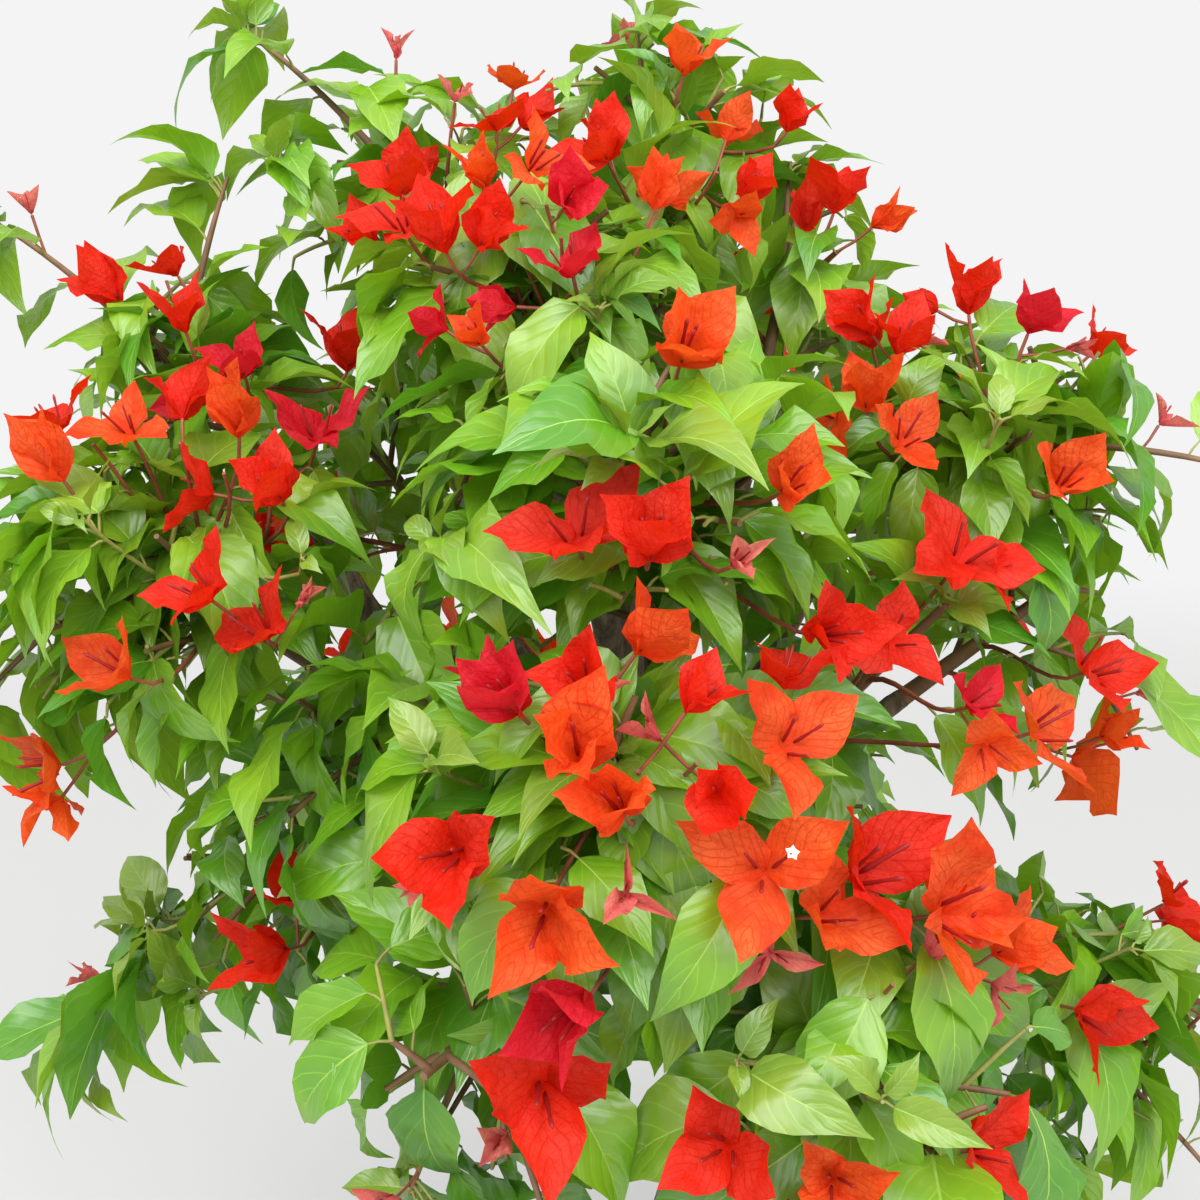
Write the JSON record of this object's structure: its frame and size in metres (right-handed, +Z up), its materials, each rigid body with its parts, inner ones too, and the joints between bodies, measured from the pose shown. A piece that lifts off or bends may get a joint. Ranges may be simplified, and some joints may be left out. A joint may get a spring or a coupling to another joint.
{
  "type": "bougainvillea bonsai",
  "caption": "Potted bougainvillea bonsai: leaning tapered trunk with root flare, open crown of drooping leaves and orange-red bracts, in a plain oval pot.",
  "frame": {"origin": "middle of the pot's flat underside, on the surface it stands on", "axes": "+Z up, -Y towards the viewer of the picture, +X to that viewer's right"},
  "size_m": [0.6502, 0.5832, 0.8121],
  "materials": {
    "pot": "unglazed brown stoneware",
    "soil": "damp granular potting mix",
    "bark": "rough grey-brown bark",
    "twig": "smooth young bark, green to reddish brown",
    "leaf": "green leaf, slightly glossy above",
    "bract": "thin papery orange-red bract",
    "flower": "small tubular flower"
  },
  "bodies": {
    "root": {"pot": "pot", "soil": "soil", "trunk": "bark", "bough_top": "bark", "foliage_top": "leaf", "bough_top_left": "bark", "foliage_top_left": "leaf", "bough_top_right": "bark", "foliage_top_right": "leaf", "bough_left": "bark", "foliage_left": "leaf", "bough_left_high": "bark", "foliage_left_high": "leaf", "bough_left_low": "bark", "foliage_left_low": "leaf", "bough_front_high": "bark", "foliage_front_high": "leaf", "bough_front_low": "bark", "foliage_front_low": "leaf", "bough_front": "bark", "foliage_front": "leaf", "bough_left_middle": "bark", "foliage_left_middle": "leaf", "bough_front_left_low": "bark", "foliage_front_left_low": "leaf", "bough_front_right_low": "bark", "foliage_front_right_low": "leaf", "bough_right": "bark", "foliage_right": "leaf", "bough_right_high": "bark", "foliage_right_high": "leaf", "bough_right_middle": "bark", "foliage_right_middle": "leaf", "bough_right_low": "bark", "foliage_right_low": "leaf", "bough_back": "bark", "foliage_back": "leaf", "bough_back_left": "bark", "foliage_back_left": "leaf", "bough_back_right": "bark", "foliage_back_right": "leaf", "bough_back_high": "bark", "foliage_back_high": "leaf", "bough_back_left_low": "bark", "foliage_back_left_low": "leaf", "bough_back_low": "bark", "foliage_back_low": "leaf", "bough_back_right_low": "bark", "foliage_back_right_low": "leaf"}
  },
  "joints": []
}
